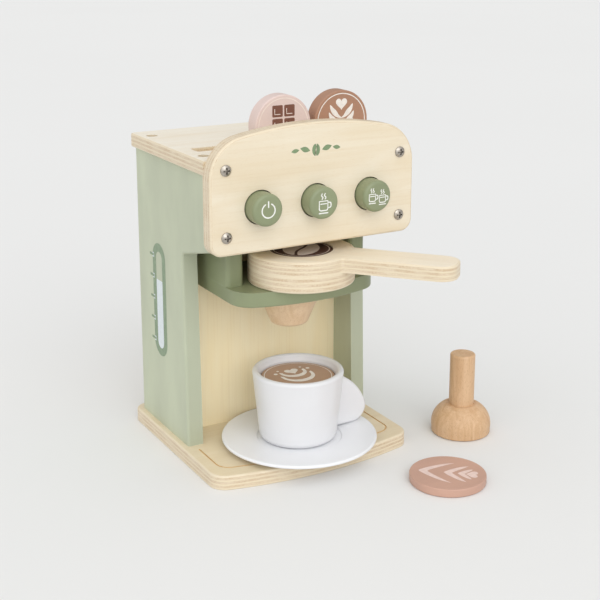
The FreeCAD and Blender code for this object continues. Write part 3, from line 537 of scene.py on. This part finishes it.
def stroke(points, width, round_ends=True):
    """A line of some width through the points, as quads with round ends."""
    left, right = [], []
    closed = points[0] == points[-1]
    for place, point in enumerate(points):
        before = points[place - 1] if place else (points[-2] if closed else point)
        after = points[place + 1] if place < len(points) - 1 else (points[1] if closed else point)
        run = Vector((after[0] - before[0], after[1] - before[1])).normalized()
        side = Vector((-run.y, run.x)) * width / 2
        left.append((point[0] + side.x, point[1] + side.y))
        right.append((point[0] - side.x, point[1] - side.y))
    shapes = strip(right, left)
    if round_ends and not closed:
        for tip, inner in ((points[0], points[1]), (points[-1], points[-2])):
            facing = math.degrees(math.atan2(tip[1] - inner[1], tip[0] - inner[0]))
            shapes.append(ring_part(width / 2, facing - 90, facing + 90, tip, 8))
    return shapes


def smooth_line(points, steps=8):
    """A soft line through a few points: a Catmull-Rom curve."""
    last = len(points) - 1
    result = []
    for i in range(last):
        near = [points[min(max(i + k, 0), last)] for k in (-1, 0, 1, 2)]
        for step in range(steps):
            t = step / steps
            spot = []
            for a, b, c, d in zip(*near):
                square = (2 * a - 5 * b + 4 * c - d) * t * t
                cube = (3 * b - a - 3 * c + d) * t ** 3
                spot.append(0.5 * (2 * b + (c - a) * t + square + cube))
            result.append(tuple(spot))
    result.append(points[-1])
    return result


print("line tools ready")

# %% [markdown]
# All prints are flat, so each is drawn in millimetres on a small sheet and then laid on
# its surface. A sheet has a middle, a right and an up in the world. Every outline is
# turned the same way round, so that its face looks outwards, and the ink lies 0.04 mm
# above the paint, which keeps the two from flickering through each other.

# %% Tools for laying prints
INK_LAYER = 0.00004


def signed_area(outline):
    """The area of an outline, negative where it runs clockwise."""
    total = 0.0
    for first, second in zip(outline, outline[1:] + outline[:1]):
        total += first[0] * second[1] - second[0] * first[1]
    return total / 2


def standing_sheet(node):
    """A sheet on the front of a piece."""
    low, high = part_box(node)
    return (((low.x + high.x) / 2, low.y, (low.z + high.z) / 2), (1, 0, 0), (0, 0, 1))


def lying_sheet(node, up=(0, 1, 0)):
    """A sheet on the top of a piece, with its picture upright along the direction up."""
    low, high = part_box(node)
    right = Vector(up).cross((0, 0, 1))
    return (((low.x + high.x) / 2, (low.y + high.y) / 2, high.z), right, up)


def lay_print(name, shapes, sheet, body, finish, layer=1):
    """Lays shapes drawn in millimetres on a sheet: its middle, its right and its up."""
    middle, right, up = [Vector(part) for part in sheet]
    lift = right.cross(up) * INK_LAYER * layer
    mesh = bpy.data.meshes.new(name)
    shape = bmesh.new()
    for outline in shapes:
        if signed_area(outline) < 0:
            outline = outline[::-1]
        spots = [middle + lift + right * (x / 1000) + up * (y / 1000) for x, y in outline]
        shape.faces.new([shape.verts.new(spot) for spot in spots])
    bmesh.ops.triangulate(shape, faces=[face for face in shape.faces if len(face.verts) > 4])
    shape.to_mesh(mesh)
    shape.free()
    mesh.materials.append(finish)
    piece = bpy.data.objects.new(name, mesh)
    bpy.context.scene.collection.objects.link(piece)
    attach(piece, body)
    print(name, "faces", len(mesh.polygons))
    return piece


def ink(name, colour, thin=0.10):
    """Ink is a little uneven: where it is thin, the tone under it shines through."""
    finish, tree, surface = start_finish(name, Roughness=0.5)
    patches = spread(tree, cloud(tree, (2.5, 2.5, 2.5), detail=3.0), 0.3, 0.75)
    weak = tone(*[part * (1 - thin) for part in colour])
    tree.links.new(mixed(tree, patches, tone(*colour), weak), surface.inputs["Base Color"])
    relief(tree, surface, cloud(tree, (0.4, 0.4, 0.4)), 0.02, 0.3)
    return finish


print("ink layer", round(INK_LAYER * 1000, 2), "mm")

# %% [markdown]
# The gauge on the left panel looks like the sight glass of a water tank: a dark
# upright ring with a pale column inside, and five marks on its rear side. The ring is
# the strip between two outlines with round ends, and the column is the lower part of
# the inner outline, cut level.

# %% Level gauge
GAUGE_Y = 0.0181
GLASS_OUTSIDE = (23.5, 66.9, 155.1)
GLASS_INSIDE = (11.0, 72.9, 148.6)
WATER_LEVEL = 126.6
MARK_HEIGHTS = (78.0, 94.6, 111.3, 128.0, 144.3)
panel_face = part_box("left_side_panel")[0].x
gauge_sheet = ((panel_face, GAUGE_Y, 0), (0, -1, 0), (0, 0, 1))
gauge_green = ink("gauge_green_ink", (141, 160, 131))
gauge_white = ink("gauge_white_ink", (224, 231, 234), 0.04)


def tube(width, low, high):
    """An upright outline with round ends."""
    radius = width / 2
    outline = ring_part(radius, 0, 180, (0, high - radius))
    outline += ring_part(radius, 180, 360, (0, low + radius))
    return outline + outline[:1]


glass_ring = strip(tube(*GLASS_OUTSIDE), tube(*GLASS_INSIDE))
lay_print("gauge_ring", glass_ring, gauge_sheet, "machine", gauge_green)
half = GLASS_INSIDE[0] / 2
column = ring_part(half, 180, 360, (0, GLASS_INSIDE[1] + half))
column += [(half, WATER_LEVEL), (-half, WATER_LEVEL)]
lay_print("gauge_column", [column], gauge_sheet, "machine", gauge_white)
marks, outlines = [], []
for height in MARK_HEIGHTS:
    marks += stroke([(-16.8, height), (-9.5, height)], 1.9, False)
    outlines += stroke([(-11.9, height), (-9.1, height)], 3.5, False)
lay_print("gauge_mark_gaps", outlines, gauge_sheet, "machine", gauge_white,
          layer=2)
lay_print("gauge_marks", marks, gauge_sheet, "machine", gauge_green, layer=3)

# %% [markdown]
# Each button has a white line symbol: a power sign, one steaming cup and two steaming
# cups. All are strokes of nearly even width, as such symbols are everywhere. One
# drawing of a cup serves three times, at two sizes.

# %% Button symbols
symbol_white = ink("symbol_white_ink", (240, 240, 234), 0.06)


def cup_symbol(middle_x, middle_y, size, line):
    def at(points):
        return [(middle_x + x * size, middle_y + y * size) for x, y in points]

    left_wall = [(-2.6, 1.6), (-2.6, -2.6), (-2.3, -3.2), (-1.7, -3.5)]
    right_wall = [(-x, y) for x, y in reversed(left_wall)]
    shapes = stroke(at(left_wall + right_wall + left_wall[:1]), line)
    shapes += stroke(at(smooth_line([(3.0, 0.7), (4.4, 0.3), (4.4, -1.8), (3.0, -2.2)])), line)
    shapes += stroke(at([(-1.8, 0.1), (1.8, 0.1)]), line * 0.8)
    shapes += stroke(at([(-2.6, -4.9), (2.6, -4.9)]), line)
    for x in (-0.9, 0.9):
        steam = smooth_line([(x, 2.7), (x + 0.5, 3.6), (x - 0.4, 4.6), (x + 0.1, 5.6)])
        shapes += stroke(at(steam), line * 0.9)
    return shapes


POWER_LINE = 0.95
power = stroke(ring_part(4.9, 118, 422), POWER_LINE) + stroke([(0, 2.4), (0, 6.2)], POWER_LINE)
one = cup_symbol(-0.9, -0.3, 1.3, 0.86)
two = cup_symbol(-4.7, 0.5, 1.0, 0.72) + cup_symbol(3.7, -0.9, 1.0, 0.72)
for word, symbol in (("power", power), ("one_cup", one), ("two_cup", two)):
    button = word + "_button"
    lay_print(word + "_symbol", symbol, standing_sheet(button), button, symbol_white)

# %% [markdown]
# The pictures on the discs are everyday ones: squares of chocolate, a poured heart
# with waves or leaves under it, a leaf and a bean. A heart has a well-known curve, and
# a wave is the strip between two half rounds that close to a point at both ends.

# %% Tools for latte pictures
def heart(width, middle_y):
    points = []
    for step in range(48):
        t = step / 48 * math.tau
        x = 16 * math.sin(t) ** 3
        y = 13 * math.cos(t) - 5 * math.cos(2 * t) - 2 * math.cos(3 * t) - math.cos(4 * t)
        points.append((x * width / 32, middle_y + y * width / 32))
    return points


def wave(width, height, thick, middle_y, half_turn, leafy=False, steps=32):
    """A hanging band with pointed ends, thick in its middle, or leafy: thin there too."""
    outer, inner = [], []
    for step in range(steps + 1):
        angle = math.radians(-half_turn + 2 * half_turn * step / steps)
        if leafy:
            swell = 0.14 + 0.86 * abs(math.sin(1.8 * angle))
        else:
            swell = 0.55 + 0.45 * math.cos(angle) ** 2
        fat = thick * swell if 0 < step < steps else 0.0
        x, y = math.sin(angle), -math.cos(angle)
        outer.append((x * width / 2, middle_y + y * height))
        inner.append((x * (width / 2 - fat), middle_y + y * (height - fat)))
    return strip(outer, inner)


def ring_line(radius, line):
    outside = ring_part(radius, 0, 360, steps=72)
    return strip(outside, ring_part(radius - line, 0, 360, steps=72))


print("latte picture tools ready")

# %% [markdown]
# The pink disc stands for chocolate: a fine pale ring, and a bar of small squares with
# a light corner line in each, which makes them look raised. The brown disc next to it
# shows a poured heart over pairs of leaves.

# %% Chocolate disc and rosette disc
pale_line = ink("pale_line_ink", (240, 224, 214), 0.05)
chocolate_brown = ink("chocolate_brown_ink", (122, 78, 62), 0.08)
foam_white = ink("foam_white_ink", (243, 237, 230), 0.07)

RING_R, RING_LINE = 20.4, 0.7
SQUARE = 8.5
SQUARE_STEP = 9.7
BAR_MIDDLE = 1.2


def rounded_square(middle_x, middle_y, size, corner):
    outline = []
    inset = size / 2 - corner
    for sx, sy, start in ((1, 1, 0), (-1, 1, 90), (-1, -1, 180), (1, -1, 270)):
        centre = (middle_x + sx * inset, middle_y + sy * inset)
        outline += ring_part(corner, start, start + 90, centre, 4)
    return outline


squares, corner_lines = [], []
for column_x in (-SQUARE_STEP / 2, SQUARE_STEP / 2):
    for row_y in (BAR_MIDDLE - SQUARE_STEP, BAR_MIDDLE, BAR_MIDDLE + SQUARE_STEP):
        squares.append(rounded_square(column_x, row_y, SQUARE, 0.9))
        low_x, low_y = column_x - 2.3, row_y - 2.3
        corner_line = [(low_x, low_y + 3.8), (low_x, low_y), (low_x + 4.4, low_y)]
        corner_lines += stroke(corner_line, 0.55)
front = standing_sheet("chocolate_disc")
rim = ring_line(RING_R, RING_LINE)
lay_print("chocolate_ring", rim, front, "chocolate_disc", pale_line)
lay_print("chocolate_squares", squares, front, "chocolate_disc", chocolate_brown)
lay_print("chocolate_corner_lines", corner_lines, front, "chocolate_disc", pale_line,
          layer=2)
rosette = rim + [heart(9.6, 12.8)]
for width, middle_y in ((19.5, 11.2), (21.5, 5.8), (20.0, 0.4), (15.0, -4.8)):
    rosette += wave(width, 9.2, 3.9, middle_y, 97, leafy=True)
lay_print("rosette_picture", rosette, standing_sheet("rosette_disc"), "rosette_disc", foam_white)

# %% [markdown]
# The disc in the cup shows milk foam: a small heart over two waves, with a few drops.
# The spare disc has a leaf of nested pointed bands with a heart on top. Its sheet is
# turned, because the disc lies on the floor with its picture askew.

# %% Cup disc and leaf disc
cup_picture = ring_line(25.2, 0.6) + [heart(11.0, 9.5)]
cup_picture += wave(21.0, 10.5, 4.4, 8.0, 104) + wave(26.0, 13.5, 4.4, 1.0, 102)
for drop_x, drop_y, drop_r in ((-13.5, 9.5, 1.5), (13.5, 9.5, 1.5),
                               (-9.5, 14.0, 1.0), (9.5, 14.0, 1.0)):
    cup_picture.append(ring_part(drop_r, 0, 345, (drop_x, drop_y), 23))
lay_print("cup_picture", cup_picture, lying_sheet("cup_drink_disc"), "cup_drink_disc", foam_white)
leaf_pink = ink("leaf_pink_ink", (238, 212, 202), 0.06)


def chevron(width, height, thick, middle_y):
    """A hanging band that comes to a point in its middle and thins towards its ends."""
    outer, inner = [], []
    for step in range(41):
        share = step / 20 - 1
        rise = abs(share) ** 1.25
        bow = 1 - 0.16 * rise ** 3
        fat = thick * (1 - abs(share) ** 3)
        x, y = share * width / 2 * bow, middle_y - height * (1 - rise)
        outer.append((x, y))
        inner.append((x, y + fat))
    return strip(outer, inner)


leaf = [heart(10.0, 17.5)]
for width, height, thick, middle_y in ((19, 10.0, 5.0, 17.0), (30, 17.0, 6.0, 14.0),
                                       (38, 25.0, 6.4, 4.0)):
    leaf += chevron(width, height, thick, middle_y)
leaf_sheet = lying_sheet("leaf_disc", (0.76, -0.65, 0))
lay_print("leaf_picture", leaf, leaf_sheet, "leaf_disc", leaf_pink)

# %% [markdown]
# The dark disc under the head shows a coffee bean: an oval in two halves, apart by a
# gap along an S-shaped line. The same drawing, much smaller, serves again below.

# %% Bean disc
cream_ink = ink("cream_ink", (232, 218, 206), 0.06)


def bean_halves(radius, stretch, steps, skip, reach, parts, wave_out, wave_length, gap):
    """Two halves of an oval, apart by a gap along an S-shaped line."""
    halves = []
    for side in (-1, 1):
        outside = ring_part(radius, 90, 90 - side * 180, stretch=stretch, steps=steps)
        heights = [-reach + 2 * reach * part / parts for part in range(parts + 1)]
        split = [(wave_out * math.sin(y / wave_length * math.pi) + side * gap, y) for y in heights]
        halves.append(outside[skip:-skip] + split)
    return halves


bean = bean_halves(radius=13.0, stretch=1.38, steps=40, skip=2, reach=16.2, parts=24,
                   wave_out=1.6, wave_length=17.25, gap=1.0)
bean += ring_line(20.6, RING_LINE)
lay_print("bean_picture", bean, lying_sheet("bean_disc", (0.66, 0.75, 0)), "bean_disc", cream_ink)

# %% [markdown]
# The middle of the front panel, above the buttons, has a small green ornament. It is
# plain and says nothing: one bean with two leaves on each side. A leaf is a pointed
# oval, made from two curves that meet at both ends.

# %% Leaf ornament on the front panel
ornament_green = ink("ornament_green_ink", (128, 150, 112), 0.08)


def little_leaf(middle_x, middle_y, length, width, tilt):
    edge = []
    for side in (1, -1):
        for step in range(12):
            share = step / 12 if side > 0 else 1 - step / 12
            edge.append(((share - 0.5) * length, side * math.sin(share * math.pi) * width / 2))
    cos, sin = math.cos(math.radians(tilt)), math.sin(math.radians(tilt))
    return [(middle_x + x * cos - y * sin, middle_y + x * sin + y * cos) for x, y in edge]


ORNAMENT_HEIGHT = 0.2350
ornament = bean_halves(radius=3.1, stretch=1.4, steps=20, skip=1, reach=3.9, parts=12,
                       wave_out=0.6, wave_length=4.3, gap=0.32)
for side in (-1, 1):
    ornament.append(little_leaf(side * 8.6, 0.9, 8.2, 3.8, side * 16))
    ornament.append(little_leaf(side * 16.4, 0.5, 6.4, 2.9, side * -8))
ornament_sheet = ((0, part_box("front_panel")[0].y, ORNAMENT_HEIGHT), (1, 0, 0), (0, 0, 1))
lay_print("leaf_ornament", ornament, ornament_sheet, "machine", ornament_green)

# %% [markdown]
# The object stands on a plain, pale floor that runs on out of the picture. The floor
# lies a fifth of a millimetre low, so that no board shares a plane with it, and it
# keeps the soft shadow that ties the object to it.

# %% Floor
FLOOR_R = 12.0
FLOOR_DROP = 0.0002


def pale_floor():
    shape = bmesh.new()
    bmesh.ops.create_circle(shape, cap_ends=True, radius=FLOOR_R, segments=96)
    mesh = bpy.data.meshes.new("floor")
    shape.to_mesh(mesh)
    shape.free()
    finish, tree, surface = start_finish("pale_floor", Roughness=0.9, Specular_IOR_Level=0.0)
    drift = spread(tree, cloud(tree, (900, 900, 900)), 0.3, 0.7)
    colour = mixed(tree, drift, tone(231, 231, 230), tone(232, 232, 231))
    tree.links.new(colour, surface.inputs["Base Color"])
    mesh.materials.append(finish)
    floor = bpy.data.objects.new("floor", mesh)
    floor.location.z = -FLOOR_DROP
    bpy.context.scene.collection.objects.link(floor)


pale_floor()
print("floor radius", FLOOR_R, "m")

# %% [markdown]
# A wide, soft lamp from the front lights the object, together with a pale surround
# that is brighter towards the front left and above, as in a studio with one large
# window. Their levels add up so that a colour on the floor renders about as written.

# %% Light and surround
SURROUND = 0.68
TOWARDS_WINDOW = 0.43
TOWARDS_SKY = 0.34
LAMP_ENERGY = 0.76
towards_lamp = Vector((-0.16, -0.76, 0.52))
surround = bpy.data.worlds.new("surround")
bpy.context.scene.world = surround
surround.use_nodes = True
sky = surround.node_tree
facing = sky.nodes.new("ShaderNodeVectorMath")
facing.operation = "DOT_PRODUCT"
sky.links.new(sky.nodes.new("ShaderNodeTexCoord").outputs["Generated"], facing.inputs[0])
facing.inputs[1].default_value = (-0.60 * TOWARDS_WINDOW, -0.80 * TOWARDS_WINDOW,
                                  TOWARDS_SKY)
level_here = calc(sky, "ADD", facing.outputs["Value"], SURROUND)
sky.nodes["Background"].inputs["Color"].default_value = (0.995, 0.998, 1.0, 1.0)
sky.links.new(level_here, sky.nodes["Background"].inputs["Strength"])

window = bpy.data.lights.new("soft_window", "SUN")
window.energy = LAMP_ENERGY
window.angle = math.radians(50)
window.color = (1.0, 1.0, 1.0)
window_piece = bpy.data.objects.new("soft_window", window)
window_piece.rotation_euler = towards_lamp.to_track_quat("Z", "Y").to_euler()
bpy.context.scene.collection.objects.link(window_piece)
bpy.context.scene.view_settings.view_transform = "Standard"
floor_level = SURROUND + TOWARDS_SKY * 2 / 3 + LAMP_ENERGY * towards_lamp.normalized().z / math.pi
print("light level on the floor about", round(floor_level, 2))

# %% [markdown]
# The camera stands in front of the machine, to its left and a little above, at the
# distance from which the photograph was taken. It looks down at the object, and a
# small shift frames it as in the photograph.

# %% Camera
AZIMUTH = math.radians(-29.474)
ELEVATION = math.radians(13.742)
FOCAL_SHARE = 1203.72 / 600
CAMERA_PLACE = Vector((-0.409757, -0.78469, 0.387057))
level = math.cos(ELEVATION)
back = Vector((math.sin(AZIMUTH) * level, -math.cos(AZIMUTH) * level, math.sin(ELEVATION)))
right = Vector((math.cos(AZIMUTH), math.sin(AZIMUTH), 0))
up = back.cross(right)
camera = bpy.data.cameras.new("camera")
camera.sensor_width = 36.0
camera.lens = FOCAL_SHARE * camera.sensor_width
camera.shift_y = -0.14
camera.clip_end = 50.0
camera_piece = bpy.data.objects.new("camera", camera)
placed = Matrix((right, up, back)).transposed().to_4x4()
placed.translation = CAMERA_PLACE
camera_piece.matrix_world = placed
bpy.context.scene.collection.objects.link(camera_piece)
bpy.context.scene.camera = camera_piece
print("lens", round(camera.lens, 1), "mm")

# %% [markdown]
# At the end comes a small tool that turns a box into plain numbers; the new pieces
# were tied to their moving groups as they were made.

# %% A tool for plain numbers
def plain(box):
    return [[float(value) for value in corner] for corner in box]
